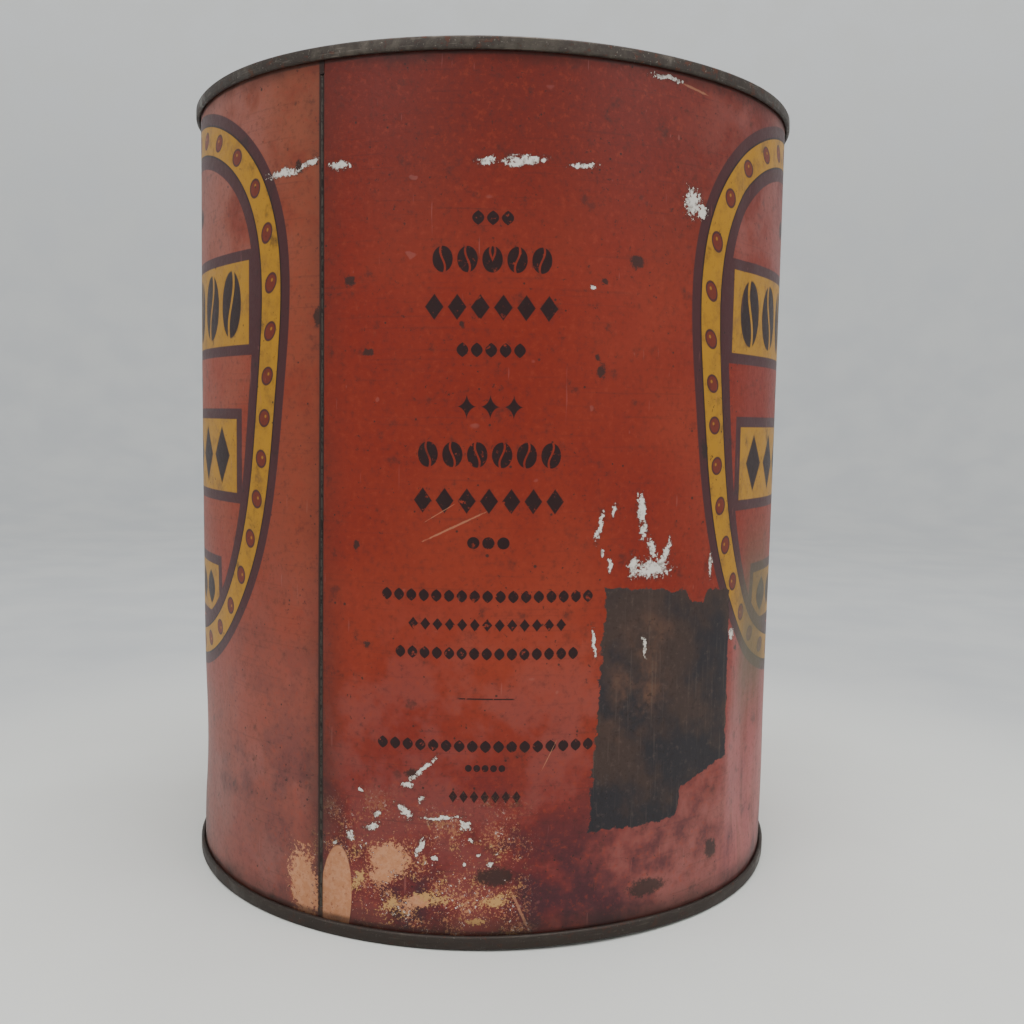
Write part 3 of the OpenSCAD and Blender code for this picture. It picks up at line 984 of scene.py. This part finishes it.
def make_tinplate(name, clean, dull, tarnish):
    """Bare tinplate, from clean metal to brown tarnish with rust specks and bright scratches.

    tarnish is how far it has gone, where 0 is clean metal and 1 is brown all over.
    """
    finish = Finish(name)
    at = finish.at
    cloud = noise(at, 14, detail=5, rough=0.65)
    spots = noise(at, 2.6, detail=5, rough=0.7)
    fine = noise(at, 0.7, detail=3, rough=0.7)
    rubbed = noise(at, 0.5, detail=2, stretch=(14, 14, 1)).fade(0.62, 0.72)
    brown = (cloud * 0.6 + spots * 0.4 + (tarnish - 0.5)).fade(0.4, 0.62)
    colour = laid(clean, dull, brown)
    colour = laid(colour, RUST, (spots + brown * 0.06).fade(0.62, 0.7) * 0.8)
    colour = laid(colour, SOIL_AND_SHADE, fine.fade(0.5, 0.7) * brown * 0.6)
    bright = rubbed * (1 - brown * 0.6)
    colour = laid(colour, SCUFF, higher(bright, fine.fade(0.6, 0.7)) * 0.5)
    colour = laid(colour, SOIL_AND_SHADE, at.parts()[2].fade(9, 1) * 0.7)
    metal = 0.9 - brown * 0.5 + bright * 0.2
    rough = 0.3 + brown * 0.28 + (fine - 0.5) * 0.2
    return finish.set({"Base Color": colour, "Roughness": rough, "Metallic": metal,
                       "Normal": finish.bump(spots * 0.6 + fine * 0.4, 0.05)})


def make_solder_finish():
    finish = Finish("solder_metal")
    fine = noise(finish.at, 1.2, detail=4, rough=0.6)
    colour = laid(paint(74, 68, 62), paint(44, 38, 34), fine.fade(0.42, 0.62))
    return finish.set({"Base Color": colour, "Roughness": 0.4 + fine * 0.2, "Metallic": 0.7,
                       "Normal": finish.bump(fine, 0.08)})


def make_compound_finish():
    finish = Finish("seam_rubber")
    fine = noise(finish.at, 0.8, detail=3)
    colour = laid(paint(70, 71, 68), paint(48, 48, 46), fine.fade(0.4, 0.6))
    return finish.set({"Base Color": colour, "Roughness": 0.75 + fine * 0.1,
                       "Normal": finish.bump(fine, 0.04)})


def make_floor_finish():
    finish = Finish("pale_paper")
    x, y, z = finish.at.parts()
    far = (x * x + y * y) ** 0.5
    mottle = noise(finish.at, 60)
    # Painted light and shade: bright near the tin, darker further out, and lighter again up the wall
    colour = laid(paint(216, 217, 212), paint(180, 182, 183), far.fade(150, 340))
    colour = laid(colour, paint(214, 215, 215), z.fade(50, 900))
    colour = laid(colour, paint(205, 205, 200), mottle.fade(0.3, 0.7) * 0.3)
    return finish.set({"Base Color": colour, "Roughness": 0.9})


# ---------------------------------------------------------------------------------------------
# Putting it together
# ---------------------------------------------------------------------------------------------

def finish_piece(piece, material, body, node=None):
    piece.data.materials.clear()
    piece.data.materials.append(material)
    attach(piece, body)
    if node is not None:
        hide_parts(node)


make_camera()
make_room_light()
make_softbox("overhead", (0.1, -0.25, 1.5), (0, 0, 0.05), 1.4, 26)
make_softbox("front_left", (-0.9, -1.1, 0.9), (0, 0, 0.1), 0.9, 9)
make_softbox("front_right", (1.1, -0.9, 0.7), (0, 0, 0.1), 0.9, 6)

floor = make_floor()
floor.data.materials.append(make_floor_finish())

wall_tin = make_tinplate("wall_tinplate", *WALL_TIN, 0.5)
end_tin = make_tinplate("end_tinplate", *END_TIN, 0.58)
lid_tin = make_tinplate("lid_tinplate", *LID_TIN, 0.56)
rubber = make_compound_finish()

wall, panels = make_wall()
finish_piece(wall, wall_tin, "tin", "body_shell")
lacquer = make_print()
for panel in panels:
    finish_piece(panel, lacquer, "tin")
finish_piece(make_solder(), make_solder_finish(), "tin", "side_seam_solder")
finish_piece(make_bottom(), end_tin, "tin", "bottom_end")
finish_piece(make_top_ring(), end_tin, "tin", "top_ring")
finish_piece(make_compound("bottom_compound", lambda depth: depth), rubber, "tin",
             "bottom_seam_compound")
finish_piece(make_compound("top_compound", lambda depth: TIN_H - depth), rubber, "tin",
             "top_seam_compound")
finish_piece(make_lid(), lid_tin, "lid", "lid")
